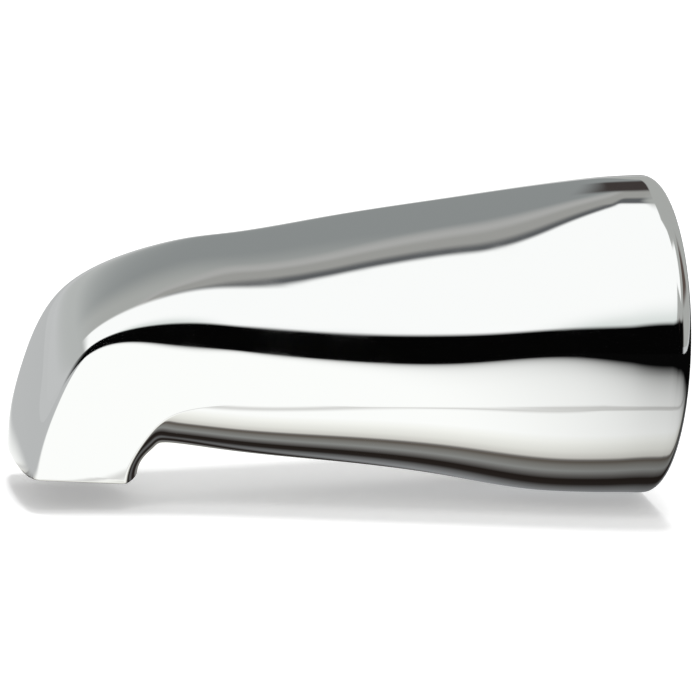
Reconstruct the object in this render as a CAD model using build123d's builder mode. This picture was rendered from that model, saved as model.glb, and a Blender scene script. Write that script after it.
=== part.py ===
"""Bath spout: a hollow chromed casting with a threaded brass inlet seated in its boss.

The origin is the centre of the wall face, +Z is up and the nose points along -X.
Sections of the casting stand upright from the wall to the throat, then fan round the pivot
of the knee down to the mouth. All lengths are in millimetres and all angles in degrees.
"""

import os
from dataclasses import dataclass, replace
from math import cos, radians, sin, sqrt

from build123d import *

# Wall end: a round bell that starts with a short turned band
rim_radius = 31.75
rim_round = 1.75
rim_arc_radius = 1.9
rim_band = 4.25
rim_wall = 3.0

# Casting
wall = 2.6

# Upright sections: how far each stands from the wall, its crown above the axis, its keel
# and its widest level below the axis, and its half width
flare_from_wall = 12.0
flare_crown = 31.2
flare_keel = 31.6
flare_shoulder_drop = 0.1
flare_half_width = 31.2

bell_from_wall = 24.0
bell_crown = 29.8
bell_keel = 31.0
bell_shoulder_drop = 0.1
bell_half_width = 29.4

waist_from_wall = 42.0
waist_crown = 27.3
waist_keel = 28.0
waist_shoulder_drop = 2.8
waist_half_width = 26.2

neck_from_wall = 66.0
neck_crown = 23.7
neck_keel = 24.9
neck_shoulder_drop = 3.5
neck_half_width = 21.9

throat_from_wall = 86.0
throat_crown = 20.3
throat_keel = 22.8
throat_shoulder_drop = 2.9
throat_half_width = 18.1

# The side line: a crease below the widest level that is faint on the bell and crisp on the nozzle
rim_crease_drop = 7.3
bell_crease_drop = 7.9
throat_crease_drop = 8.8

# How flat the side is: 0 follows the round section, 1 is a plane
neck_flatness = 0.35
throat_flatness = 0.8

# Knee: the pivot that the nozzle's sections fan round, and the round of its inner corner
pivot_from_wall = 97.75
pivot_drop = 26.9
knee_radius = 5.7

# Fanned sections: how far each is turned from upright, the reach of its crown and of its
# side crease from the pivot, and the depth of the crown's curve above the flat side
knee_turn = 4.0
knee_crown_reach = 44.7
knee_crease_reach = 15.5
knee_crown_depth = 18.0
knee_half_width = 17.0

brow_turn = 30.0
brow_crown_reach = 40.9
brow_crease_reach = 12.5
brow_crown_depth = 9.1

nose_turn = 55.0
nose_crown_reach = 34.1
nose_crease_reach = 10.8
nose_crown_depth = 5.4

chin_turn = 75.0
chin_crown_reach = 31.0
chin_crease_reach = 10.3
chin_crown_depth = 3.9

mouth_turn = 87.0
mouth_crown_reach = 30.0
mouth_crease_reach = 10.1
mouth_crown_depth = 3.3
mouth_half_width = 14.3

# How square the crown's curve is where it leaves the crown and where it meets the side:
# a quarter circle has 0.5523, a sharp corner 1
round_fullness = 0.5523
mouth_fullness = 0.9
throat_side_fullness = 0.65
side_draft = 0.1

# Inlet: brass insert with a female pipe thread, its boss, web and ribs
thread_radius = 9.2
thread_lead_in = 1.2
insert_radius = 12.0
insert_length = 15.0
flange_radius = 13.6
flange_thickness = 1.6
insert_clearance = 0.05
boss_radius = 14.6
web_thickness = 3.0
web_from_wall = 70.0
water_hole_radius = 8.2
rib_thickness = 2.4
rib_length = 10.0
rib_count = 4


@dataclass(frozen=True)
class Section:
    """One cross-section of the casting, measured in its own plane from the plane's origin.

    The plane's x runs across the spout and its y from keel to crown.
    """

    plane: Plane
    crown: float
    keel: float
    shoulder: float
    crease: float
    half_width: float
    flatness: float
    fullness: float
    side_fullness: float

    def corner(self) -> tuple[float, float, float]:
        """Half width and height of the crease, and the side's slope where it gets there."""
        drop = self.shoulder - self.crease
        depth = drop / (self.shoulder - self.keel)
        bow = sqrt(1 - depth**2)
        bowed_slope = self.half_width * depth / bow / (self.shoulder - self.keel)
        width = self.half_width - self.flatness * side_draft
        width -= (1 - self.flatness) * self.half_width * (1 - bow)
        slope = self.flatness * side_draft / drop + (1 - self.flatness) * bowed_slope
        return width, self.crease, slope

    def inset(self, amount: float) -> "Section":
        """The same section with every wall moved inward."""
        return replace(
            self,
            crown=self.crown - amount,
            keel=self.keel + amount,
            crease=self.crease + 0.4 * amount,
            half_width=self.half_width - amount,
        )

    def draw(self) -> None:
        """Draw the closed outline in the current line builder."""
        width, rise = self.half_width, self.crown - self.shoulder
        corner_width, corner_height, slope = self.corner()
        third = (self.shoulder - corner_height) / 3
        for side in (1, -1):
            Bezier(
                (0, self.crown),
                (side * self.fullness * width, self.crown),
                (side * width, self.shoulder + self.side_fullness * rise),
                (side * width, self.shoulder),
            )
            Bezier(
                (side * width, self.shoulder),
                (side * width, self.shoulder - third),
                (side * (corner_width + slope * third), corner_height + third),
                (side * corner_width, corner_height),
            )
        ThreePointArc(
            (corner_width, corner_height), (0, self.keel), (-corner_width, corner_height)
        )


def upright(
    from_wall,
    crown,
    keel,
    shoulder_drop,
    half_width,
    crease_drop,
    flatness=0.0,
    side_fullness=round_fullness,
) -> Section:
    """A section parallel to the wall, measured from the axis."""
    return Section(
        Plane(origin=(-from_wall, 0, 0), x_dir=(0, 1, 0), z_dir=(1, 0, 0)),
        crown,
        -keel,
        -shoulder_drop,
        -crease_drop,
        half_width,
        flatness,
        round_fullness,
        side_fullness,
    )


def rim_ring(from_wall, radius) -> Section:
    """A round section of the wall end."""
    return upright(from_wall, radius, radius, 0.0, radius, rim_crease_drop)


def fanned(turn, crown_reach, crease_reach, crown_depth) -> Section:
    """A section turned forward round the knee's pivot, with a flat side."""
    share = (turn - knee_turn) / (mouth_turn - knee_turn)
    angle = radians(turn)
    plane = Plane(
        origin=(-pivot_from_wall, 0, -pivot_drop),
        x_dir=(0, 1, 0),
        z_dir=(cos(angle), 0, sin(angle)),
    )
    return Section(
        plane,
        crown_reach,
        knee_radius,
        crown_reach - crown_depth,
        crease_reach,
        knee_half_width + share * (mouth_half_width - knee_half_width),
        1.0,
        round_fullness + share * (mouth_fullness - round_fullness),
        throat_side_fullness + share * (round_fullness - throat_side_fullness),
    )


def crease_drop_at(from_wall) -> float:
    """Depth of the side line below the axis, which falls evenly from the bell to the throat."""
    share = (from_wall - bell_from_wall) / (throat_from_wall - bell_from_wall)
    return bell_crease_drop + share * (throat_crease_drop - bell_crease_drop)


bell_sections = [
    upright(
        flare_from_wall,
        flare_crown,
        flare_keel,
        flare_shoulder_drop,
        flare_half_width,
        rim_crease_drop,
    ),
    upright(
        bell_from_wall,
        bell_crown,
        bell_keel,
        bell_shoulder_drop,
        bell_half_width,
        bell_crease_drop,
    ),
]
neck_sections = [
    upright(
        waist_from_wall,
        waist_crown,
        waist_keel,
        waist_shoulder_drop,
        waist_half_width,
        crease_drop_at(waist_from_wall),
    ),
    upright(
        neck_from_wall,
        neck_crown,
        neck_keel,
        neck_shoulder_drop,
        neck_half_width,
        crease_drop_at(neck_from_wall),
        neck_flatness,
    ),
    upright(
        throat_from_wall,
        throat_crown,
        throat_keel,
        throat_shoulder_drop,
        throat_half_width,
        throat_crease_drop,
        throat_flatness,
        throat_side_fullness,
    ),
    fanned(knee_turn, knee_crown_reach, knee_crease_reach, knee_crown_depth),
]
nozzle_sections = [
    fanned(brow_turn, brow_crown_reach, brow_crease_reach, brow_crown_depth),
    fanned(nose_turn, nose_crown_reach, nose_crease_reach, nose_crown_depth),
    fanned(chin_turn, chin_crown_reach, chin_crease_reach, chin_crown_depth),
    fanned(mouth_turn, mouth_crown_reach, mouth_crease_reach, mouth_crown_depth),
]
rim_sections = [rim_ring(0.0, rim_radius), rim_ring(rim_band, rim_radius)]
bore_sections = [rim_ring(0.0, rim_radius - rim_wall), rim_ring(rim_band, rim_radius - rim_wall)]
casting_sections = bell_sections + neck_sections + nozzle_sections

# Boss, web and ribs, trimmed to the middle of the casting's wall
web_back = web_from_wall + web_thickness
boss_front = web_from_wall - insert_length + flange_thickness
with BuildPart() as inlet_boss:
    with BuildSketch(Plane.YZ.offset(-web_back)):
        Circle(rim_radius)
    extrude(amount=web_thickness)
    with BuildSketch(Plane.YZ.offset(-web_from_wall)):
        with PolarLocations(0, rib_count, start_angle=45):
            Rectangle(rim_radius, rib_thickness, align=(Align.MIN, Align.CENTER))
    extrude(amount=rib_length)
    with BuildSketch(Plane.YZ.offset(-web_back)):
        Circle(boss_radius)
    extrude(amount=web_back - boss_front)
    for section in neck_sections:
        with BuildSketch(section.plane):
            with BuildLine():
                section.inset(wall / 2).draw()
            make_face()
    loft(mode=Mode.INTERSECT)

# Casting: the lofted skin, its round at the wall, the hollow inside it and the inlet's boss
with BuildPart() as spout_body:
    for section in rim_sections + casting_sections:
        with BuildSketch(section.plane):
            with BuildLine():
                section.draw()
            make_face()
    loft(clean=False)
    with BuildSketch(Plane.XZ):
        with Locations((-rim_round, rim_round - rim_radius)):
            Rectangle(2 * rim_round, rim_radius, align=(Align.MIN, Align.MAX))
            Circle(rim_arc_radius, mode=Mode.SUBTRACT)
    revolve(axis=Axis.X, clean=False, mode=Mode.SUBTRACT)
    for section in bore_sections + [outer.inset(wall) for outer in casting_sections]:
        with BuildSketch(section.plane):
            with BuildLine():
                section.draw()
            make_face()
    loft(clean=False, mode=Mode.SUBTRACT)
    add(inlet_boss.part, clean=False)
    with BuildSketch(Plane.YZ.offset(-web_from_wall)):
        Circle(insert_radius + insert_clearance)
    extrude(amount=insert_length, clean=False, mode=Mode.SUBTRACT)
    with BuildSketch(Plane.YZ.offset(-web_back)):
        Circle(water_hole_radius)
    extrude(amount=web_thickness, clean=False, mode=Mode.SUBTRACT)
spout_body.part.label = "spout_body"

# Insert: a flanged bush, bored for the pipe thread, that stops on the web
insert_inner_end = web_from_wall - insert_clearance
insert_face = insert_inner_end - insert_length
with BuildPart() as inlet_insert:
    with BuildSketch(Plane.XZ):
        with BuildLine():
            Polyline(
                (-insert_inner_end, thread_radius),
                (-insert_inner_end, insert_radius),
                (-insert_face - flange_thickness, insert_radius),
                (-insert_face - flange_thickness, flange_radius),
                (-insert_face, flange_radius),
                (-insert_face, thread_radius + thread_lead_in),
                (-insert_face - thread_lead_in, thread_radius),
                close=True,
            )
        make_face()
    revolve(axis=Axis.X)
inlet_insert.part.label = "inlet_insert"

os.makedirs("parts", exist_ok=True)
export_step(spout_body.part, "parts/spout_body.step")
export_step(inlet_insert.part, "parts/inlet_insert.step")
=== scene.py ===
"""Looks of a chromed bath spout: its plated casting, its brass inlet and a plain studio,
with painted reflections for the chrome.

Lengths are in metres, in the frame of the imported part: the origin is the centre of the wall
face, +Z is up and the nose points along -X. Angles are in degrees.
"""

import logging
import math
from dataclasses import dataclass, replace
from enum import Enum, IntEnum

import bmesh
import bpy
import numpy as np
from mathutils import Matrix, Vector

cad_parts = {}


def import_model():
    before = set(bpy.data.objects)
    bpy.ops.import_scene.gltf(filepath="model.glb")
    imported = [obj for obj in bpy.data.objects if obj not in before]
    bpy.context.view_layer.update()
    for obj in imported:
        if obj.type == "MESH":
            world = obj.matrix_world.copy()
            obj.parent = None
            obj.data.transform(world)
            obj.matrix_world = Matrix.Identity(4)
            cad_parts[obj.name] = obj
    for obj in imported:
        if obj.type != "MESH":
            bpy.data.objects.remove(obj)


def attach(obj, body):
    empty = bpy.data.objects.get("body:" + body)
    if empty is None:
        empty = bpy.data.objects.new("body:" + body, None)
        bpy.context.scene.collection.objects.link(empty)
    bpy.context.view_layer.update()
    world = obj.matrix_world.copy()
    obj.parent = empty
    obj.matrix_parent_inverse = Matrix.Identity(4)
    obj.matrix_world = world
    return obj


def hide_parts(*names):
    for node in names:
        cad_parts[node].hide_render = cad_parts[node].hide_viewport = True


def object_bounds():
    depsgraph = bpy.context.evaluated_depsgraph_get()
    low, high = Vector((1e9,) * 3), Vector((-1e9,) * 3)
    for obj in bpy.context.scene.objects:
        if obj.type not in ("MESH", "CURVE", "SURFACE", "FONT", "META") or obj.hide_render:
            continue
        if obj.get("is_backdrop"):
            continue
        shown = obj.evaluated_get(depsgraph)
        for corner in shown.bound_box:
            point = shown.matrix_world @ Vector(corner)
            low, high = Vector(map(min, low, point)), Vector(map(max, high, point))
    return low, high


LOG = logging.getLogger("bath_spout")
MM = 0.001
QUARTER_CIRCLE = 0.5523  # handle length of a Bezier curve that draws a quarter circle
CREASE_INSET = 0.4  # how much of a wall's thickness the crease rises inside it
SEARCH_STEPS = 40
CAMERA_AZIMUTH = -13.6

Triple = tuple[float, float, float]
Tint = Triple
Span = tuple[float, float]
Socket = bpy.types.NodeSocket


class Zone(IntEnum):
    """Parts of the casting that differ in finish, by material slot."""

    PLATED = 0
    BARE = 1


def bezier(handles: list[tuple[float, float]], count: int, end: float = 1.0) -> np.ndarray:
    """Points along a Bezier curve of any degree.

    Args:
        handles: the curve's control points.
        count: how many points.
        end: the share of the curve where the points stop.

    Returns:
        An array of count rows.
    """
    share = np.linspace(0.0, end, count)[:, None]
    level = [np.array(handle)[None, :] + 0 * share for handle in handles]
    while len(level) > 1:
        level = [(1 - share) * a + share * b for a, b in zip(level, level[1:])]
    return level[0]


def round_ring(angles: np.ndarray, radius: np.ndarray | float, from_wall: float) -> np.ndarray:
    """Points round the axis, at angles in radians from +Y toward +Z, all as far from the wall."""
    x = 0 * angles - from_wall
    return np.stack([x, radius * np.cos(angles), radius * np.sin(angles)], axis=1)


@dataclass(frozen=True)
class Section:
    """One cross-section of the casting, measured in its own plane from the plane's origin.

    The plane holds the Y axis and is turned from upright. Heights run from keel to crown.
    """

    origin_x: float
    origin_z: float
    turn: float
    crown: float
    keel: float
    shoulder: float
    crease: float
    half_width: float
    flatness: float = 0.0
    fullness: float = QUARTER_CIRCLE
    side_fullness: float = QUARTER_CIRCLE
    side_draft: float = 0.1 * MM
    crease_round: float = 0.5 * MM

    def corner(self) -> tuple[float, float, float]:
        """Half width and height of the crease, and the side's slope where it gets there."""
        drop = self.shoulder - self.crease
        depth = drop / (self.shoulder - self.keel)
        bow = math.sqrt(1 - depth**2)
        bowed_slope = self.half_width * depth / bow / (self.shoulder - self.keel)
        width = self.half_width - self.flatness * self.side_draft
        width -= (1 - self.flatness) * self.half_width * (1 - bow)
        slope = self.flatness * self.side_draft / drop + (1 - self.flatness) * bowed_slope
        return width, self.crease, slope

    def inset(self, amount: float) -> "Section":
        """The same section with every wall moved inward."""
        return replace(
            self,
            crown=self.crown - amount,
            keel=self.keel + amount,
            crease=self.crease + CREASE_INSET * amount,
            half_width=self.half_width - amount,
        )

    def outline(self, crown_points: int, side_points: int, keel_points: int) -> np.ndarray:
        """The closed outline in space, from the crown round by +Y.

        Args:
            crown_points: points on each half of the crown's curve.
            side_points: points on each side, and again on the round of its crease.
            keel_points: points on each half of the keel's arc.

        Returns:
            One row of x, y and z for each point.
        """
        width, rise = self.half_width, self.crown - self.shoulder
        corner_width, corner_height, slope = self.corner()
        corner, widest = (corner_width, corner_height), (width, self.shoulder)
        third = (self.shoulder - corner_height) / 3
        from_crown = (self.fullness * width, self.crown)
        to_widest = (width, self.shoulder + self.side_fullness * rise)
        crown = bezier([(0, self.crown), from_crown, to_widest, widest], crown_points)
        from_widest = (width, self.shoulder - third)
        to_corner = (corner_width + slope * third, corner_height + third)
        end = 1 - self.crease_round / (3 * third)
        side = bezier([widest, from_widest, to_corner, corner], side_points, end)
        sag = corner_height - self.keel
        radius = (corner_width**2 + sag**2) / (2 * sag)
        reach = math.atan2(corner_width, radius - sag)
        angles = np.linspace(reach - self.crease_round / radius, 0.0, keel_points)
        heights = self.keel + radius * (1 - np.cos(angles))
        keel = np.stack([radius * np.sin(angles), heights], axis=1)
        crease = bezier([tuple(side[-1]), corner, tuple(keel[0])], side_points)
        half = np.concatenate([crown, side[1:], crease[1:], keel[1:]])
        mirrored = half[-2:0:-1] * np.array([-1.0, 1.0])
        across, up = np.concatenate([half, mirrored]).T
        angle = math.radians(self.turn)
        x = self.origin_x - math.sin(angle) * up
        z = self.origin_z + math.cos(angle) * up
        return np.stack([x, across, z], axis=1)


class StationSpline:
    """A smooth skin through matching outlines: a natural cubic spline from each to the next."""

    def __init__(self, outlines: list[np.ndarray]) -> None:
        """Fit the spline.

        Args:
            outlines: arrays of equal shape, in order along the casting.
        """
        self.rings = np.array(outlines)
        gaps = np.linalg.norm(np.diff(self.rings, axis=0), axis=2).mean(axis=1)
        self.knots = np.concatenate(([0.0], np.cumsum(gaps)))
        count = len(outlines)
        system = np.eye(count)
        pull = np.zeros_like(self.rings)
        for i in range(1, count - 1):
            system[i, i - 1 : i + 2] = gaps[i - 1], 2 * (gaps[i - 1] + gaps[i]), gaps[i]
            after = (self.rings[i + 1] - self.rings[i]) / gaps[i]
            before = (self.rings[i] - self.rings[i - 1]) / gaps[i - 1]
            pull[i] = 6 * (after - before)
        bends = np.linalg.solve(system, pull.reshape(count, -1))
        self.bends = bends.reshape(self.rings.shape)

    @property
    def length(self) -> float:
        """The spline's whole length, measured along the mean of its outlines."""
        return float(self.knots[-1])

    def at(self, distance: float) -> np.ndarray:
        """The ring at a distance from the first outline."""
        i = int(np.clip(np.searchsorted(self.knots, distance) - 1, 0, len(self.knots) - 2))
        gap = self.knots[i + 1] - self.knots[i]
        a = (self.knots[i + 1] - distance) / gap
        b = 1 - a
        bend = (a**3 - a) * self.bends[i] + (b**3 - b) * self.bends[i + 1]
        return a * self.rings[i] + b * self.rings[i + 1] + bend * gap**2 / 6

    def distance_of(self, from_wall: float) -> float:
        """The distance at which the mean of the ring stands that far from the wall."""
        low, high = 0.0, self.length
        for _ in range(SEARCH_STEPS):
            middle = (low + high) / 2
            if -self.at(middle)[:, 0].mean() < from_wall:
                low = middle
            else:
                high = middle
        return (low + high) / 2


class RingWall:
    """A closed wall grown ring by ring from one circle of vertices."""

    def __init__(self, first: np.ndarray) -> None:
        """Start the wall.

        Args:
            first: the first ring's points.
        """
        self.mesh = bmesh.new()
        self.spot = self.mesh.verts.layers.int.new("spot")
        made = bmesh.ops.create_circle(self.mesh, cap_ends=False, segments=len(first), radius=1.0)
        for index, vert in enumerate(made["verts"]):
            vert[self.spot] = index
            vert.co = Vector(first[index])
        self.front = list(self.mesh.edges)
        self.first = list(self.front)

    def grow(self, ring: np.ndarray, zone: Zone = Zone.PLATED) -> None:
        """Extrude the open end to the next ring.

        Args:
            ring: where the new vertices stand, in the order of the first ring.
            zone: the new faces' finish.
        """
        made = bmesh.ops.extrude_edge_only(self.mesh, edges=self.front)["geom"]
        verts = {item for item in made if isinstance(item, bmesh.types.BMVert)}
        for vert in verts:
            vert.co = Vector(ring[vert[self.spot]])
        self.front = [
            item
            for item in made
            if isinstance(item, bmesh.types.BMEdge) and set(item.verts) <= verts
        ]
        for item in made:
            if isinstance(item, bmesh.types.BMFace):
                item.material_index = zone

    def close(self) -> None:
        """Join the open end to the first ring."""
        made = bmesh.ops.bridge_loops(self.mesh, edges=self.front + self.first)
        for face in made["faces"]:
            face.material_index = Zone.PLATED

    def finish(self, sharp_angle: float) -> bmesh.types.BMesh:
        """Turn the faces outward, smooth them and keep only real corners sharp.

        Args:
            sharp_angle: the angle between two faces above which their edge stays sharp.

        Returns:
            The finished bmesh.
        """
        bmesh.ops.recalc_face_normals(self.mesh, faces=self.mesh.faces)
        for face in self.mesh.faces:
            face.smooth = True
        limit = math.radians(sharp_angle)
        for edge in self.mesh.edges:
            edge.smooth = edge.calc_face_angle(0.0) < limit
        return self.mesh


def make_object(
    name: str, shape: bmesh.types.BMesh, finishes: list[bpy.types.Material]
) -> bpy.types.Object:
    """Put a finished bmesh into the scene.

    Args:
        name: the piece's name.
        shape: the bmesh, which is freed.
        finishes: materials in the order of the faces' slots.

    Returns:
        The new object, at the origin.
    """
    mesh = bpy.data.meshes.new(name)
    shape.to_mesh(mesh)
    shape.free()
    for finish in finishes:
        mesh.materials.append(finish)
    piece = bpy.data.objects.new(name, mesh)
    bpy.context.scene.collection.objects.link(piece)
    return piece


def make_plane(
    name: str, size: float, pieces: int, height: float, finish: bpy.types.Material
) -> bpy.types.Object:
    """Put a level square about the Z axis into the scene, with so many pieces along its side."""
    shape = bmesh.new()
    bmesh.ops.create_grid(shape, x_segments=pieces, y_segments=pieces, size=size / 2)
    bmesh.ops.translate(shape, verts=shape.verts, vec=(0.0, 0.0, height))
    return make_object(name, shape, [finish])


class NodeSheet:
    """A node tree with short calls to add and join nodes."""

    def __init__(self, tree: bpy.types.NodeTree) -> None:
        """Empty the tree.

        Args:
            tree: the tree to fill.
        """
        self.tree = tree
        tree.nodes.clear()

    def add(self, kind: str, **inputs: object) -> bpy.types.Node:
        """Add a node.

        Args:
            kind: the node's type name.
            **inputs: settings of the node, or values or links of its sockets. A socket's name is
                written with underscores for its spaces, or as i and its number.

        Returns:
            The node.
        """
        node = self.tree.nodes.new(kind)
        for name, value in inputs.items():
            if hasattr(node, name):
                setattr(node, name, value)
                continue
            numbered = name[0] == "i" and name[1:].isdigit()
            self.feed(value, node.inputs[int(name[1:]) if numbered else name.replace("_", " ")])
        return node

    def feed(self, value: object, socket: Socket) -> None:
        """Link a socket to a socket, or give it a plain value."""
        if isinstance(value, Socket):
            self.tree.links.new(value, socket)
        else:
            socket.default_value = value

    def calc(self, operation: str, *values: object) -> Socket:
        """The result of a Math node."""
        node = self.add("ShaderNodeMath", operation=operation)
        for value, socket in zip(values, node.inputs):
            self.feed(value, socket)
        return node.outputs[0]

    def product(self, *values: object) -> Socket:
        """The product of two or more values."""
        result = values[0]
        for value in values[1:]:
            result = self.calc("MULTIPLY", result, value)
        return result

    def line(self, value: object, slope: float, level: object) -> Socket:
        """A value times a slope, and a level added to it."""
        return self.calc("MULTIPLY_ADD", value, slope, level)

    def layer(self, under: object, over: Tint, mask: object) -> Socket:
        """A colour laid over another where the mask is one."""
        node = self.add("ShaderNodeMix", data_type="RGBA")
        for given, index in ((mask, 0), (under, 6), ((*over, 1.0), 7)):
            self.feed(given, node.inputs[index])
        return node.outputs[2]

    def spread(self, value: object, low: float, high: float, to: Span = (0.0, 1.0)) -> Socket:
        """A value mapped smoothly from one range to another, and held beyond its ends."""
        span = {"From_Min": low, "From_Max": high, "To_Min": to[0], "To_Max": to[1]}
        node = self.add("ShaderNodeMapRange", interpolation_type="SMOOTHSTEP", Value=value, **span)
        return node.outputs["Result"]

    def mask(self, *fades: tuple[object, Span]) -> Socket:
        """One where each value is past the end of its own fade."""
        return self.product(*(self.spread(value, *fade) for value, fade in fades))

    def place(self) -> Socket:
        """The object's own coordinates."""
        return self.add("ShaderNodeTexCoord").outputs["Object"]

    def end_metal(
        self, colour: object, metallic: float, roughness: Socket, height: Socket, depth: float
    ) -> None:
        """End a material with a bumped metal surface.

        Args:
            colour: its colour.
            metallic: the share of it that is bare metal.
            roughness: how dull it is.
            height: the bumps' height, from 0 to 1.
            depth: how deep the deepest bump is.
        """
        bump = self.add("ShaderNodeBump", Strength=1.0, Distance=depth, Height=height)
        shader = self.add(
            "ShaderNodeBsdfPrincipled",
            Base_Color=colour,
            Metallic=metallic,
            Roughness=roughness,
            Normal=bump.outputs["Normal"],
        )
        self.add("ShaderNodeOutputMaterial", Surface=shader.outputs["BSDF"])


def new_material(name: str) -> tuple[bpy.types.Material, NodeSheet]:
    """A new material with an empty node sheet."""
    material = bpy.data.materials.new(name)
    material.use_nodes = True
    return material, NodeSheet(material.node_tree)


@dataclass(frozen=True)
class Noise:
    """One noise of a shared effect, and the band of its values that is stretched to 0 to 1."""

    name: str
    detail: float
    roughness: float
    band: Span | None = None


class Effect(Enum):
    """Surface effects that finishes share, each a node group of two noises."""

    POLISH_WEAR = (Noise("Smear", 5.0, 0.55, (0.42, 0.72)), Noise("Ripple", 1.0, 0.4))
    CAST_GRAIN = (Noise("Grain", 4.0, 0.6), Noise("Stain", 3.0, 0.5, (0.35, 0.65)))

    def tree(self) -> bpy.types.NodeTree:
        """The effect's node group, which is made on its first use."""
        label = self.name.lower()
        if label in bpy.data.node_groups:
            return bpy.data.node_groups[label]
        tree = bpy.data.node_groups.new(label, "ShaderNodeTree")
        made = tree.interface.new_socket
        made(name="Place", in_out="INPUT", socket_type="NodeSocketVector")
        for noise in self.value:
            made(name=f"{noise.name} Size", in_out="INPUT", socket_type="NodeSocketFloat")
            made(name=noise.name, in_out="OUTPUT", socket_type="NodeSocketFloat")
        sheet = NodeSheet(tree)
        given, end = sheet.add("NodeGroupInput"), sheet.add("NodeGroupOutput")
        for noise in self.value:
            value = sheet.add(
                "ShaderNodeTexNoise",
                Vector=given.outputs["Place"],
                Scale=given.outputs[f"{noise.name} Size"],
                Detail=noise.detail,
                Roughness=noise.roughness,
            ).outputs[0]
            if noise.band:
                value = sheet.spread(value, *noise.band)
            sheet.feed(value, end.inputs[noise.name])
        return tree

    def lay(self, sheet: NodeSheet, place: Socket, *sizes: float) -> bpy.types.bpy_prop_collection:
        """Use the effect in a material.

        Args:
            sheet: the material's sheet.
            place: the object's own coordinates.
            *sizes: how fine each noise is.

        Returns:
            The outputs, by the noises' names.
        """
        group = sheet.add("ShaderNodeGroup", node_tree=self.tree())
        for value, socket in zip((place, *sizes), group.inputs):
            sheet.feed(value, socket)
        return group.outputs


@dataclass(frozen=True)
class ChromePlate:
    """Bright decorative chrome over polished metal, with a faint ripple and handling smears."""

    colour: Tint = (0.93, 0.935, 0.935)
    roughness: Span = (0.02, 0.06)
    smear_size: float = 60.0
    ripple_size: float = 90.0
    ripple_depth: float = 0.004 * MM

    def build(self) -> bpy.types.Material:
        """Make the material."""
        material, sheet = new_material("chrome_plate")
        wear = Effect.POLISH_WEAR.lay(sheet, sheet.place(), self.smear_size, self.ripple_size)
        roughness = sheet.spread(wear["Smear"], 0.0, 1.0, self.roughness)
        sheet.end_metal((*self.colour, 1.0), 1.0, roughness, wear["Ripple"], self.ripple_depth)
        return material


@dataclass(frozen=True)
class BareCasting:
    """The inside of the casting, where the plating hardly reaches: dull grey with a cast grain."""

    pale: Tint = (0.66, 0.66, 0.65)
    stained: Tint = (0.46, 0.455, 0.44)
    metallic: float = 0.55
    roughness: Span = (0.38, 0.58)
    grain_size: float = 900.0
    stain_size: float = 70.0
    grain_depth: float = 0.06 * MM

    def build(self) -> bpy.types.Material:
        """Make the material."""
        material, sheet = new_material("bare_casting")
        grain = Effect.CAST_GRAIN.lay(sheet, sheet.place(), self.grain_size, self.stain_size)
        tint = sheet.layer((*self.pale, 1.0), self.stained, grain["Stain"])
        roughness = sheet.spread(grain["Stain"], 0.0, 1.0, self.roughness)
        sheet.end_metal(tint, self.metallic, roughness, grain["Grain"], self.grain_depth)
        return material


@dataclass(frozen=True)
class TurnedBrass:
    """Yellow brass from the lathe: fine turning rings and a slight tarnish."""

    bright: Tint = (0.78, 0.56, 0.27)
    tarnished: Tint = (0.50, 0.34, 0.15)
    roughness: Span = (0.22, 0.42)
    ring_size: float = 2600.0
    ring_detail: float = 2.0
    stain_size: float = 140.0
    ring_depth: float = 0.02 * MM

    def build(self) -> bpy.types.Material:
        """Make the material."""
        material, sheet = new_material("turned_brass")
        place = sheet.place()
        apart = sheet.add("ShaderNodeSeparateXYZ", Vector=place).outputs
        across = [sheet.calc("POWER", apart[axis], 2.0) for axis in ("Y", "Z")]
        radius = sheet.calc("SQRT", sheet.calc("ADD", *across))
        rings = sheet.add("ShaderNodeCombineXYZ", X=apart["X"], Y=radius).outputs[0]
        marks = sheet.add(
            "ShaderNodeTexNoise", Vector=rings, Scale=self.ring_size, Detail=self.ring_detail
        )
        grain = Effect.CAST_GRAIN.lay(sheet, place, self.ring_size, self.stain_size)
        tint = sheet.layer((*self.bright, 1.0), self.tarnished, grain["Stain"])
        roughness = sheet.spread(grain["Stain"], 0.0, 1.0, self.roughness)
        sheet.end_metal(tint, 1.0, roughness, marks.outputs[0], self.ring_depth)
        return material


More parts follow.
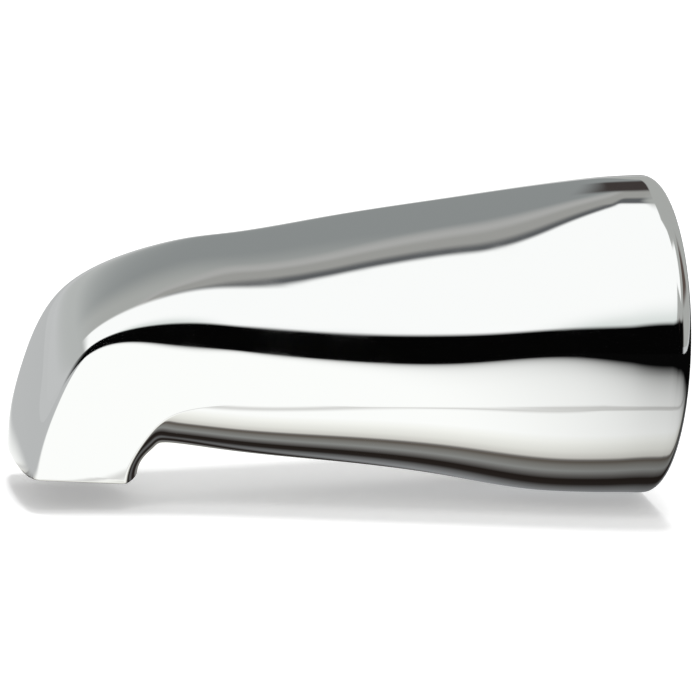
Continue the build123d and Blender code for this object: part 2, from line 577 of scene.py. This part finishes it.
@dataclass
class SpoutBody:
    """The plated casting: a lofted skin, open at the wall, with its inlet boss and water way."""

    rim_radius: float = 31.75 * MM
    rim_round: float = 1.75 * MM
    rim_band: float = 4.25 * MM
    band_edge: float = 2.9 * MM
    band_dip: float = 0.45 * MM
    band_blend: float = 9.0 * MM
    rim_wall: float = 3.0 * MM
    rim_crease: float = -7.3 * MM
    wall: float = 2.6 * MM
    edge_round: float = 0.3 * MM
    lip_round: float = 0.45 * MM
    pivot_x: float = -97.75 * MM
    pivot_z: float = -26.9 * MM
    knee_radius: float = 5.7 * MM
    knee_turn: float = 4.0
    mouth_turn: float = 87.0
    knee_half_width: float = 16.4 * MM
    mouth_half_width: float = 14.3 * MM
    mouth_fullness: float = 0.9
    throat_side_fullness: float = 0.65
    web_from_wall: float = 70.0 * MM
    web_thickness: float = 3.0 * MM
    boss_radius: float = 14.6 * MM
    boss_front: float = 56.6 * MM
    seat_radius: float = 12.05 * MM
    water_hole_radius: float = 8.2 * MM
    rib_thickness: float = 2.4 * MM
    rib_length: float = 10.0 * MM
    rib_count: int = 4
    rib_first_angle: float = 45.0
    rib_sink: float = 0.4
    boss_fillet: float = 0.6 * MM
    fillet_middle: float = 0.3
    crown_points: int = 36
    side_points: int = 9
    keel_points: int = 24
    skin_step: float = 0.8 * MM
    hollow_step: float = 1.8 * MM
    round_steps: int = 6
    sharp_angle: float = 34.0
    # in millimetres: from the wall, crown, keel, widest level, crease, half width; then the
    # side's flatness and fullness
    upright_sizes: tuple[tuple[float, ...], ...] = (
        (12.0, 31.2, -31.6, -0.1, -7.3, 31.2, 0.0, QUARTER_CIRCLE),
        (24.0, 29.8, -31.0, -0.1, -7.9, 29.4, 0.0, QUARTER_CIRCLE),
        (42.0, 27.3, -28.0, -2.8, -8.16, 26.2, 0.0, QUARTER_CIRCLE),
        (66.0, 23.7, -24.9, -3.5, -8.51, 21.9, 0.35, QUARTER_CIRCLE),
        (86.0, 20.3, -22.8, -2.9, -8.8, 18.3, 0.8, 0.65),
    )
    # the turn in degrees; then in millimetres the crown's reach, the crease's reach and the
    # depth of the crown's curve
    fanned_sizes: tuple[tuple[float, ...], ...] = (
        (4.0, 44.7, 15.5, 18.0),
        (30.0, 40.9, 12.5, 9.1),
        (55.0, 34.1, 10.8, 5.4),
        (75.0, 31.0, 10.3, 3.9),
        (87.0, 30.0, 10.1, 3.3),
    )

    def rim_section(self, from_wall: float, radius: float) -> Section:
        """A round section of the wall end."""
        return Section(-from_wall, 0.0, 0.0, radius, -radius, 0.0, self.rim_crease, radius)

    def casting_sections(self) -> list[Section]:
        """The sections from the flare to the mouth."""
        sections = []
        for *lengths, flatness, side_fullness in self.upright_sizes:
            from_wall, *sizes = (size * MM for size in lengths)
            upright = Section(-from_wall, 0.0, 0.0, *sizes, flatness)
            sections.append(replace(upright, side_fullness=side_fullness))
        for turn, crown, crease, depth in self.fanned_sizes:
            share = (turn - self.knee_turn) / (self.mouth_turn - self.knee_turn)
            half_width, fullness, side_fullness = (
                first + share * (last - first)
                for first, last in (
                    (self.knee_half_width, self.mouth_half_width),
                    (QUARTER_CIRCLE, self.mouth_fullness),
                    (self.throat_side_fullness, QUARTER_CIRCLE),
                )
            )
            plane = self.pivot_x, self.pivot_z, turn
            heights = crown * MM, self.knee_radius, (crown - depth) * MM, crease * MM
            sections.append(Section(*plane, *heights, half_width, 1.0, fullness, side_fullness))
        return sections

    def spline(self, sections: list[Section]) -> StationSpline:
        """The skin through some sections."""
        counts = self.crown_points, self.side_points, self.keel_points
        return StationSpline([section.outline(*counts) for section in sections])

    def outer_skin(self) -> StationSpline:
        """The skin that is plated, from the wall to the mouth."""
        rim = [self.rim_section(from_wall, self.rim_radius) for from_wall in (0.0, self.rim_band)]
        return self.spline(rim + self.casting_sections())

    def inner_skin(self) -> StationSpline:
        """The skin of the hollow, from the wall to the mouth."""
        bore = self.rim_radius - self.rim_wall
        rim = [self.rim_section(from_wall, bore) for from_wall in (0.0, self.rim_band)]
        return self.spline(rim + [section.inset(self.wall) for section in self.casting_sections()])

    @staticmethod
    def circle(like: np.ndarray, radius: float, from_wall: float) -> np.ndarray:
        """A round ring upright about the axis, each point in line with one of another ring."""
        return round_ring(np.arctan2(like[:, 2], like[:, 1]), radius, from_wall)

    def grow_hollow(self, wall: RingWall, skin: StationSpline, start: float, stop: float) -> None:
        """Grow along the bare inner skin in even steps, up to and with its stop."""
        count = max(2, round(abs(stop - start) / self.hollow_step))
        for share in range(1, count + 1):
            wall.grow(skin.at(start + (stop - start) * share / count), Zone.BARE)

    def dipped(self, ring: np.ndarray) -> np.ndarray:
        """A ring of the bell, drawn in a little where it meets the turned band at a crisp edge."""
        from_wall = -float(ring[:, 0].mean())
        share = (from_wall - self.band_edge) / self.band_blend
        if not 0.0 < share < 1.0:
            return ring
        dip = self.band_dip * share * (1 - share) ** 2
        return ring * np.array([1.0, 1 - dip / self.rim_radius, 1 - dip / self.rim_radius])

    def grow_bell(self, wall: RingWall, skin: StationSpline, start: float, stop: float) -> None:
        """Grow the plated skin from the mouth to the round at the wall, with its turned band."""
        count = round((start - stop) / self.skin_step)
        for share in range(1, count + 1):
            wall.grow(self.dipped(skin.at(start + (stop - start) * share / count)))
        edge = skin.at(stop)
        for from_wall in (self.band_edge, (self.band_edge + self.rim_round) / 2, self.rim_round):
            wall.grow(self.circle(edge, self.rim_radius, from_wall))

    @staticmethod
    def outward(ring: np.ndarray) -> np.ndarray:
        """The direction of each point of an upright ring from the axis."""
        spokes = ring * np.array([0.0, 1.0, 1.0])
        return spokes / np.linalg.norm(spokes, axis=1)[:, None]

    def turn(self, step: int) -> float:
        """The angle after a number of the steps that make a quarter round."""
        return math.radians(90.0 * step / self.round_steps)

    def build_rim(self, wall: RingWall, outside: np.ndarray, inside: np.ndarray) -> None:
        """Round the wall end from the outer skin over the wall face to the bore."""
        for step in range(1, self.round_steps + 1):
            angle = self.turn(step)
            ring = outside - self.outward(outside) * self.rim_round * (1 - math.cos(angle))
            ring[:, 0] = -self.rim_round * (1 - math.sin(angle))
            wall.grow(ring)
        for step in range(0, self.round_steps + 1, 2):
            angle = self.turn(step)
            ring = inside + self.outward(inside) * self.edge_round * (1 - math.sin(angle))
            ring[:, 0] = -self.edge_round * (1 - math.cos(angle))
            wall.grow(ring)

    def build_boss(self, wall: RingWall, front: np.ndarray, back: np.ndarray) -> None:
        """Grow the web, the boss and the way through them, from the bore to the chamber."""
        web_back = self.web_from_wall + self.web_thickness
        middle = self.fillet_middle * self.boss_fillet
        front[:, 0] = -self.web_from_wall
        wall.grow(front, Zone.BARE)
        for radius, from_wall in (
            (self.boss_radius + self.boss_fillet, self.web_from_wall),
            (self.boss_radius + middle, self.web_from_wall - middle),
            (self.boss_radius, self.web_from_wall - self.boss_fillet),
            (self.boss_radius, self.boss_front + self.edge_round),
            (self.boss_radius - self.edge_round, self.boss_front),
            (self.seat_radius, self.boss_front),
            (self.seat_radius, self.web_from_wall),
            (self.water_hole_radius, self.web_from_wall),
            (self.water_hole_radius, web_back),
        ):
            wall.grow(self.circle(front, radius, from_wall), Zone.BARE)
        back[:, 0] = -web_back
        wall.grow(back, Zone.BARE)

    def build_lip(self, wall: RingWall, inside: np.ndarray, outside: np.ndarray) -> None:
        """Round the mouth's two edges and its flat lip, from the hollow to the outer skin."""
        angle = math.radians(self.mouth_turn)
        backward = np.array([math.cos(angle), 0.0, math.sin(angle)])
        across = inside - outside
        across = across / np.linalg.norm(across, axis=1)[:, None]
        for edge, sign, steps in (
            (inside, -1, range(0, self.round_steps + 1)),
            (outside, 1, range(self.round_steps, -1, -1)),
        ):
            for step in steps:
                turn = self.turn(step)
                moved = edge + sign * across * self.lip_round * (1 - math.cos(turn))
                wall.grow(moved + backward * self.lip_round * (1 - math.sin(turn)))

    def add_ribs(self, shape: bmesh.types.BMesh, skin: StationSpline) -> None:
        """Stand the ribs between the boss and the wall, their ends sunk into both."""
        for index in range(self.rib_count):
            angle = math.radians(self.rib_first_angle + 360.0 * index / self.rib_count)
            ray = Vector((0.0, math.cos(angle), math.sin(angle)))
            made = bmesh.ops.create_cube(shape, size=1.0)["verts"]
            for vert in made:
                from_wall = self.web_from_wall + self.edge_round
                if vert.co.x > 0:
                    from_wall = self.web_from_wall - self.rib_length
                reach = self.boss_radius - self.wall
                if vert.co.y > 0:
                    ring = skin.at(skin.distance_of(from_wall))
                    along = ring[:, 1:] @ np.array([ray.y, ray.z])
                    reach = float(along[np.argmax(along / np.linalg.norm(ring[:, 1:], axis=1))])
                    reach += self.rib_sink * self.wall
                sideways = Vector((0.0, -ray.z, ray.y)) * (vert.co.z * self.rib_thickness)
                vert.co = ray * reach + sideways + Vector((-from_wall, 0.0, 0.0))
            for face in {face for vert in made for face in vert.link_faces}:
                face.material_index = Zone.BARE

    def build(self) -> bpy.types.Object:
        """Build the casting and dress it.

        Returns:
            The piece that stands for the node spout_body.
        """
        outer, inner = self.outer_skin(), self.inner_skin()
        lip = 2 * self.lip_round
        wall = RingWall(outer.at(outer.length - lip))
        band_start = outer.distance_of(self.band_edge + self.edge_round)
        self.grow_bell(wall, outer, outer.length - lip, band_start)
        bore_start = inner.distance_of(self.edge_round)
        rim_edge = self.circle(outer.at(band_start), self.rim_radius, self.rim_round)
        self.build_rim(wall, rim_edge, inner.at(bore_start))
        web_front_at = inner.distance_of(self.web_from_wall)
        web_back_at = inner.distance_of(self.web_from_wall + self.web_thickness)
        self.grow_hollow(wall, inner, bore_start, web_front_at - self.hollow_step)
        self.build_boss(wall, inner.at(web_front_at), inner.at(web_back_at))
        self.grow_hollow(wall, inner, web_back_at, inner.length - lip)
        self.build_lip(wall, inner.at(inner.length), outer.at(outer.length))
        wall.close()
        self.add_ribs(wall.mesh, inner)
        shape = wall.finish(self.sharp_angle)
        finishes = [ChromePlate().build(), BareCasting().build()]
        piece = make_object("spout_casting", shape, finishes)
        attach(piece, "root")
        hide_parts("spout_body")
        return piece


@dataclass
class InletInsert:
    """The brass bush in the boss, with a female pipe thread."""

    inner_end: float = 69.95 * MM
    face: float = 54.95 * MM
    outer_radius: float = 12.0 * MM
    flange_radius: float = 13.6 * MM
    flange_thickness: float = 1.6 * MM
    thread_radius: float = 9.2 * MM
    thread_depth: float = 1.45 * MM
    thread_pitch: float = 1.814 * MM
    thread_flat: float = 0.12
    lead_in: float = 1.55 * MM
    edge_break: float = 0.2 * MM
    segments: int = 96
    rings_per_pitch: int = 14
    sharp_angle: float = 40.0

    def ring(self, radius: np.ndarray | float, from_wall: float) -> np.ndarray:
        """A ring about the axis, with one radius or one for each point."""
        angles = np.linspace(0.0, 2 * math.pi, self.segments, endpoint=False)
        return round_ring(angles, radius, from_wall)

    def thread_ring(self, from_wall: float) -> np.ndarray:
        """The thread's own wavy ring, faded out at its inner end and opened at the face."""
        turns = np.linspace(0.0, 1.0, self.segments, endpoint=False)
        ramp = np.abs(2 * ((from_wall / self.thread_pitch + turns) % 1.0) - 1)
        height = np.clip((ramp - self.thread_flat) / (1 - 2 * self.thread_flat), 0.0, 1.0)
        fade = min(1.0, (self.inner_end - from_wall) / self.thread_pitch)
        radius = self.thread_radius + height * self.thread_depth * fade
        cone = self.thread_radius + self.lead_in - (from_wall - self.face)
        return self.ring(np.maximum(radius, cone), from_wall)

    def build(self) -> bpy.types.Object:
        """Build the insert and dress it.

        Returns:
            The piece that stands for the node inlet_insert.
        """
        neck = self.face + self.flange_thickness
        wall = RingWall(self.ring(self.outer_radius, self.inner_end - self.edge_break))
        for radius, from_wall in (
            (self.outer_radius, neck),
            (self.flange_radius - self.edge_break, neck),
            (self.flange_radius, neck - self.edge_break),
            (self.flange_radius, self.face + self.edge_break),
            (self.flange_radius - self.edge_break, self.face),
        ):
            wall.grow(self.ring(radius, from_wall))
        length = self.inner_end - self.face
        count = round(length / self.thread_pitch * self.rings_per_pitch)
        for step in range(count + 1):
            wall.grow(self.thread_ring(self.face + length * step / count))
        wall.grow(self.ring(self.outer_radius - self.edge_break, self.inner_end))
        wall.close()
        shape = wall.finish(self.sharp_angle)
        piece = make_object("threaded_insert", shape, [TurnedBrass().build()])
        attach(piece, "root")
        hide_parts("inlet_insert")
        return piece


@dataclass(frozen=True)
class Viewpoint:
    """The camera at the photograph's angle."""

    azimuth: float = CAMERA_AZIMUTH
    elevation: float = 13.96
    roll: float = 3.14
    distance: float = 1.1369
    target: Triple = (-0.0635, 0.0, 0.0)
    lens: float = 295.9
    sensor: float = 36.0
    shift: Span = (0.0158, -0.0219)
    clip: Span = (0.01, 50.0)

    def toward_camera(self) -> Vector:
        """The direction from the target to the camera."""
        turn, rise = math.radians(self.azimuth), math.radians(self.elevation)
        level = math.cos(rise)
        return Vector((math.sin(turn) * level, -math.cos(turn) * level, math.sin(rise)))

    def build(self) -> None:
        """Make the camera and look through it."""
        data = bpy.data.cameras.new("studio_camera")
        data.lens = self.lens
        data.sensor_width = self.sensor
        data.sensor_fit = "HORIZONTAL"
        data.shift_x, data.shift_y = self.shift
        data.clip_start, data.clip_end = self.clip
        back = self.toward_camera()
        level = Vector((0.0, 0.0, 1.0)).cross(back).normalized()
        upright = back.cross(level)
        roll = math.radians(self.roll)
        right = level * math.cos(roll) + upright * math.sin(roll)
        up = upright * math.cos(roll) - level * math.sin(roll)
        frame = Matrix((right, up, back)).transposed().to_4x4()
        frame.translation = Vector(self.target) + back * self.distance
        camera = bpy.data.objects.new("studio_camera", data)
        camera.matrix_world = frame
        bpy.context.scene.collection.objects.link(camera)
        bpy.context.scene.camera = camera


@dataclass(frozen=True)
class Compass:
    """Directions in plan, as the camera sees them."""

    facing: float = CAMERA_AZIMUTH
    # bearings over which what is straight ahead fades in from the left and from the far right
    ahead_left: Span = (-32.0, -8.0)
    ahead_right: Span = (36.0, 31.5)

    @property
    def right(self) -> Span:
        """The x and y of the direction to the camera's right."""
        return math.cos(math.radians(self.facing)), math.sin(math.radians(self.facing))

    @property
    def forward(self) -> Span:
        """The x and y of the direction to the camera."""
        return math.sin(math.radians(self.facing)), -math.cos(math.radians(self.facing))

    def split(self, sheet: NodeSheet, place: Socket) -> tuple[Socket, Socket]:
        """How far a point lies to the right and forward."""
        x, y, _ = sheet.add("ShaderNodeSeparateXYZ", Vector=place).outputs
        ways = (self.right, self.forward)
        return tuple(sheet.line(x, way[0], sheet.product(y, way[1])) for way in ways)

    def bearing(self, sheet: NodeSheet, right: Socket, forward: Socket) -> Socket:
        """The angle to the right of straight ahead."""
        return sheet.product(sheet.calc("ARCTAN2", right, forward), math.degrees(1.0))

    def ahead(self, sheet: NodeSheet, right: Socket, forward: Socket) -> Socket:
        """One straight ahead, fading to nought on the left and on the far right."""
        bearing = self.bearing(sheet, right, forward)
        return sheet.mask((bearing, self.ahead_left), (bearing, self.ahead_right))


@dataclass(frozen=True)
class PaintedReflectionCanopy:
    """The soft light over the object, painted as polished metal mirrors it: painted reflections on
    a glowing sheet that only glossy rays meet.

    It is painted with a framed panel of light overhead and a wide panel of light before the
    object, in a grey room that is dark ahead beyond the panels. Places are measured to the right
    of the origin and forward of it. A pair of places is a fade: the patch is clear at the first
    and full at the second.
    """

    compass: Compass
    height: float = 0.3
    size: float = 8.0
    # the painted overhead panel of light: its left edge leans, and bends to the right as it comes
    # forward
    panel_left: float = -0.0285
    panel_lean: float = 0.18
    panel_bend: float = 0.8
    panel_bend_from: float = 0.05
    panel_fade: Span = (0.0, 0.006)
    panel_back: Span = (-0.185, -0.161)
    # its painted frame, which is measured from that edge: a painted dark line, a painted grey skirt
    # and a painted streak of light
    line: Span = (-0.01, -0.001)
    rear_line: Span = (-0.007, 0.0)
    rear_line_back: Span = (-0.245, -0.209)
    skirt: Span = (-0.027, -0.017)
    skirt_back: Span = (-0.48, -0.3)
    streak: Span = (-0.045, -0.027)
    streak_back: Span = (-0.54, -0.24)
    # its right edge is the rightmost of two lines, each a slope and a level, and of a limit;
    # beyond it come the painted room and then a painted dark side
    ahead_edge: Span = (0.43, 0.084)
    rear_edge: Span = (0.17, 0.067)
    least_edge: float = 0.034
    edge_fade: Span = (-0.011, -0.005)
    side_fade: Span = (0.024, 0.054)
    side_front: Span = (-0.06, 0.06)
    # the painted wide panel of light in front
    front_lean: float = 0.49
    front: Span = (0.17, 0.23)
    front_left: Span = (-0.494, -0.314)
    # far ahead: a painted grey haze over the panel, then painted dark, and a paler painted room on
    # the far right
    far_lean: float = 1.15
    haze_far: Span = (0.48, 1.02)
    haze_right: Span = (0.03, 0.18)
    haze_strength: float = 0.9
    dark_far: Span = (0.97, 1.19)
    aside_far: Span = (0.55, 0.85)
    aside_bearing: Span = (31.5, 36.0)
    # a painted dark patch in the reflection, behind the object
    dark_patch_right: Span = (-0.03, -0.009)
    dark_patch_front: Span = (-0.3, -0.37)
    dark_patch_back: Span = (-0.9, -0.66)
    # the painted room's own shades
    room_ahead: Span = (-0.09, 0.15)
    room_aside: Span = (-0.134, -0.614)
    room_far_aside: Span = (-0.584, -1.844)
    white: Tint = (1.02, 1.03, 1.02)
    room: Tint = (0.262, 0.278, 0.277)
    room_front: Tint = (0.40, 0.41, 0.395)
    room_left: Tint = (0.47, 0.485, 0.475)
    room_far_left: Tint = (0.55, 0.56, 0.56)
    frame: Tint = (0.34, 0.34, 0.325)
    frame_light: Tint = (0.42, 0.42, 0.41)
    frame_dark: Tint = (0.11, 0.115, 0.12)
    dark: Tint = (0.0012, 0.0012, 0.0012)
    side: Tint = (0.10, 0.075, 0.065)
    haze: Tint = (0.70, 0.745, 0.72)
    painted_dark_patch: Tint = (0.05, 0.042, 0.04)

    def build(self) -> None:
        """Hang the glowing sheet of painted reflections where only glossy rays meet it."""
        material, sheet = new_material("painted_reflection_canopy")
        right, forward = self.compass.split(sheet, sheet.place())
        colour = (*self.room, 1.0)
        for tint, mask in self.patches(sheet, right, forward):
            colour = sheet.layer(colour, tint, mask)
        # painted reflections: the patches glow with their own colours, and no lamp lights them
        glow = sheet.add("ShaderNodeEmission", Color=colour, Strength=1.0)
        sheet.add("ShaderNodeOutputMaterial", Surface=glow.outputs[0])
        material.cycles.emission_sampling = "NONE"
        canopy = make_plane("painted_reflection_canopy", self.size, 2, self.height, material)
        canopy.visible_camera = canopy.visible_diffuse = False
        canopy.visible_shadow = canopy.visible_transmission = False
        canopy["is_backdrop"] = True

    def patches(
        self, sheet: NodeSheet, right: Socket, forward: Socket
    ) -> list[tuple[Tint, Socket]]:
        """The painted patches of light and dark over the painted room, each with its mask, the
        lowest first.
        """
        mask = sheet.mask
        bent = sheet.calc("MAXIMUM", sheet.calc("SUBTRACT", forward, self.panel_bend_from), 0.0)
        left = sheet.line(forward, -self.panel_lean, self.panel_left)
        left = sheet.calc("ADD", left, sheet.product(bent, bent, self.panel_bend))
        inside = sheet.calc("SUBTRACT", right, left)
        edges = (sheet.line(forward, *edge) for edge in (self.ahead_edge, self.rear_edge))
        edge = sheet.calc("MAXIMUM", sheet.calc("MAXIMUM", *edges), self.least_edge)
        beyond = sheet.calc("SUBTRACT", right, edge)
        lean = sheet.line(right, self.front_lean, forward)
        far = sheet.line(right, self.far_lean, forward)
        bearing = self.compass.bearing(sheet, right, forward)
        ahead = self.compass.ahead(sheet, right, forward)
        dark_lines = sheet.calc(
            "MAXIMUM",
            mask((inside, self.rear_line), (forward, self.rear_line_back)),
            mask((inside, self.line), (forward, self.panel_back)),
        )
        panels = sheet.calc(
            "MAXIMUM",
            mask((inside, self.panel_fade), (forward, self.panel_back)),
            mask((lean, self.front), (right, self.front_left)),
        )
        haze = mask((far, self.haze_far), (right, self.haze_right))
        # painted dark patch in the reflection, behind the object
        painted_dark_patch = mask((right, self.dark_patch_right), (forward, self.dark_patch_front), (forward, self.dark_patch_back))
        return [
            (self.room_front, mask((forward, self.room_ahead))),
            (self.room_left, mask((right, self.room_aside))),
            (self.room_far_left, mask((right, self.room_far_aside))),
            (self.frame_light, mask((inside, self.streak), (forward, self.streak_back))),
            (self.frame, mask((inside, self.skirt), (forward, self.skirt_back))),
            (self.frame_dark, dark_lines),
            (self.white, panels),
            (self.haze, sheet.product(haze, self.haze_strength)),
            (self.painted_dark_patch, painted_dark_patch),
            (self.room_front, mask((beyond, self.edge_fade))),
            (self.side, mask((beyond, self.side_fade), (forward, self.side_front))),
            (self.room_front, mask((far, self.aside_far), (bearing, self.aside_bearing))),
            (self.dark, sheet.product(mask((far, self.dark_far)), ahead)),
        ]


@dataclass(frozen=True)
class PaintedFloorReflection:
    """Painted reflections of the floor, as polished metal mirrors it: white, with a painted shadow
    of the object and a painted faint line beside it, painted grey shade to the left and painted
    dark shade to the right."""

    compass: Compass
    # painted shade in the reflection: grey to the left and dark to the right, each with its fade
    grey: Tint = (0.50, 0.51, 0.51)
    grey_left: Span = (-0.128, -0.15)
    dark: Tint = (0.002, 0.002, 0.002)
    dark_right: Span = (-0.04, 0.10)
    line: Tint = (0.72, 0.72, 0.70)
    # how far aside the painted faint line lies: its slope along the spout and its level, up to its
    # end
    line_track: Span = (0.36, 0.0655)
    line_end: float = 0.0597
    line_fade: Span = (0.004, 0.0)
    # how far aside the painted shadow's deepest line lies: its slope along the spout and its level
    shade_track: Span = (0.125, 0.0155)
    shade_range: Span = (-0.012, 0.024)
    shade: tuple[tuple[float, Tint], ...] = (
        # millimetres outward from that line, and the painted shadow's colour there
        (-12.0, (0.28, 0.29, 0.30)),
        (-7.0, (0.20, 0.205, 0.21)),
        (-3.7, (0.11, 0.11, 0.11)),
        (-1.4, (0.020, 0.016, 0.014)),
        (1.5, (0.016, 0.012, 0.010)),
        (3.7, (0.125, 0.12, 0.115)),
        (5.8, (0.25, 0.255, 0.245)),
        (8.4, (0.18, 0.175, 0.16)),
        (10.0, (0.11, 0.095, 0.08)),
        (10.9, (0.17, 0.16, 0.15)),
        (12.0, (0.62, 0.61, 0.57)),
        (15.0, (0.80, 0.80, 0.75)),
        (20.0, (0.96, 0.965, 0.92)),
        (24.0, (1.04, 1.05, 1.03)),
    )

    def colour(self, sheet: NodeSheet) -> Socket:
        """Lay the painted reflection's colours out on a sheet of nodes."""
        place = sheet.place()
        right, _ = self.compass.split(sheet, place)
        x, y, _ = sheet.add("ShaderNodeSeparateXYZ", Vector=place).outputs
        aside = sheet.calc("ABSOLUTE", y)
        shadow = self.shadow(sheet, sheet.calc("SUBTRACT", aside, sheet.line(x, *self.shade_track)))
        track = sheet.calc("MINIMUM", sheet.line(x, *self.line_track), self.line_end)
        off = sheet.calc("ABSOLUTE", sheet.calc("SUBTRACT", aside, track))
        colour = sheet.layer(shadow, self.line, sheet.spread(off, *self.line_fade))
        colour = sheet.layer(colour, self.dark, sheet.spread(right, *self.dark_right))
        return sheet.layer(colour, self.grey, sheet.spread(right, *self.grey_left))

    def shadow(self, sheet: NodeSheet, outward: Socket) -> Socket:
        """The painted shadow's colour at a distance outward from its deepest line."""
        low, high = self.shade_range
        share = sheet.add("ShaderNodeMapRange", Value=outward, From_Min=low, From_Max=high)
        ramp = sheet.add("ShaderNodeValToRGB", i0=share.outputs["Result"])
        stops = ramp.color_ramp.elements
        while len(stops) < len(self.shade):
            stops.new(0.5)
        for stop, (outwards, _) in zip(stops, self.shade):
            stop.position = (outwards * MM - low) / (high - low)
        for stop, (_, tint) in zip(stops, self.shade):
            stop.color = (*tint, 1.0)
        return ramp.outputs[0]


@dataclass(frozen=True)
class Studio:
    """A pale floor and a soft, plain light round the object, with painted reflections for the
    chrome.
    """

    compass: Compass = Compass()
    ambient: float = 0.45
    # painted reflections low in the world, for glossy rays only: a grey room, painted dark ahead
    low_room: Tint = (0.54, 0.55, 0.55)
    low_dark: Tint = (0.0012, 0.0012, 0.0012)
    floor_size: float = 12.0
    floor_gap: float = 0.0003
    floor_colour: Tint = (0.9, 0.9, 0.9)
    floor_seen_glow: float = 0.35
    # each lamp's lean toward the camera, its share of the floor's light and its softness
    lamps: tuple[Triple, ...] = ((0.0, 0.38, 14.0), (0.42, 0.1, 14.0), (-1.0, 0.07, 18.0))

    @staticmethod
    def seen(sheet: NodeSheet, path: bpy.types.Node) -> Socket:
        """One for rays that the camera sees straight or through something."""
        kinds = "Is Camera Ray", "Is Transmission Ray"
        return sheet.calc("MAXIMUM", *(path.outputs[kind] for kind in kinds))

    def build_sky(self) -> None:
        """Fill the world: white for the camera, an even pale light for matt things and, low down
        where the canopy ends, a painted reflection of a grey room, painted dark ahead, for mirrored
        things."""
        world = bpy.data.worlds.new("studio_light")
        bpy.context.scene.world = world
        world.use_nodes = True
        sheet = NodeSheet(world.node_tree)
        place = sheet.add("ShaderNodeTexCoord").outputs["Generated"]
        ahead = self.compass.ahead(sheet, *self.compass.split(sheet, place))
        low = sheet.layer((*self.low_room, 1.0), self.low_dark, ahead)
        white = (1.0, 1.0, 1.0, 1.0)
        even, mirrored, plain = (
            sheet.add("ShaderNodeBackground", Color=colour, Strength=strength).outputs[0]
            for colour, strength in ((white, self.ambient), (low, 1.0), (white, 1.0))
        )
        path = sheet.add("ShaderNodeLightPath")
        masks = path.outputs["Is Glossy Ray"], self.seen(sheet, path)
        chosen = even
        for mask, light in zip(masks, (mirrored, plain)):
            chosen = sheet.add("ShaderNodeMixShader", i0=mask, i1=chosen, i2=light).outputs[0]
        sheet.add("ShaderNodeOutputWorld", Surface=chosen)

    def build_floor(self, height: float) -> None:
        """Lay the floor under the object.

        Args:
            height: the object's lowest level.
        """
        material, sheet = new_material("studio_floor")
        path = sheet.add("ShaderNodeLightPath")
        pale = (*self.floor_colour, 1.0)
        matt = sheet.add("ShaderNodeBsdfDiffuse", Color=pale).outputs[0]
        strength = sheet.product(self.seen(sheet, path), self.floor_seen_glow)
        glow = sheet.add("ShaderNodeEmission", Color=pale, Strength=strength).outputs[0]
        lit = sheet.add("ShaderNodeAddShader", i0=matt, i1=glow).outputs[0]
        # for glossy rays the floor glows with painted reflections: a painted shadow, a painted line
        # and painted shade
        colour = PaintedFloorReflection(self.compass).colour(sheet)
        mirrored = sheet.add("ShaderNodeEmission", Color=colour, Strength=1.0).outputs[0]
        mask = path.outputs["Is Glossy Ray"]
        chosen = sheet.add("ShaderNodeMixShader", i0=mask, i1=lit, i2=mirrored)
        sheet.add("ShaderNodeOutputMaterial", Surface=chosen.outputs[0])
        material.cycles.emission_sampling = "NONE"
        floor = make_plane("studio_floor", self.floor_size, 4, height - self.floor_gap, material)
        floor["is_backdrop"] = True

    def build_lamps(self) -> None:
        """Light matt things and the floor evenly and softly from above, unmirrored."""
        ahead = self.compass.forward
        for number, (lean, share, softness) in enumerate(self.lamps, start=1):
            aim = Vector((lean * ahead[0], lean * ahead[1], 1.0)).normalized()
            data = bpy.data.lights.new(f"soft_lamp_{number}", "SUN")
            data.angle = math.radians(softness)
            data.energy = share * math.pi / (self.floor_colour[0] * aim.z)
            lamp = bpy.data.objects.new(f"soft_lamp_{number}", data)
            lamp.location = aim
            lamp.rotation_euler = aim.to_track_quat("Z", "Y").to_euler()
            lamp.visible_glossy = False
            bpy.context.scene.collection.objects.link(lamp)


def box_of_scene() -> list[list[float]]:
    """The whole object's box as plain lists."""
    return [[float(value) for value in corner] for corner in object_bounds()]


def main() -> None:
    """Build the studio and the object in order."""
    logging.basicConfig(level=logging.INFO, format="%(message)s")
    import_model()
    cad_box = box_of_scene()
    scene = bpy.context.scene
    scene.view_settings.view_transform = "Standard"
    Viewpoint().build()
    studio = Studio()
    studio.build_sky()
    studio.build_floor(cad_box[0][2])
    studio.build_lamps()
    PaintedReflectionCanopy(studio.compass).build()
    for part in (SpoutBody(), InletInsert()):
        piece = part.build()
        LOG.info("%s: %d faces", piece.name, len(piece.data.polygons))


if __name__ == "__main__":
    main()
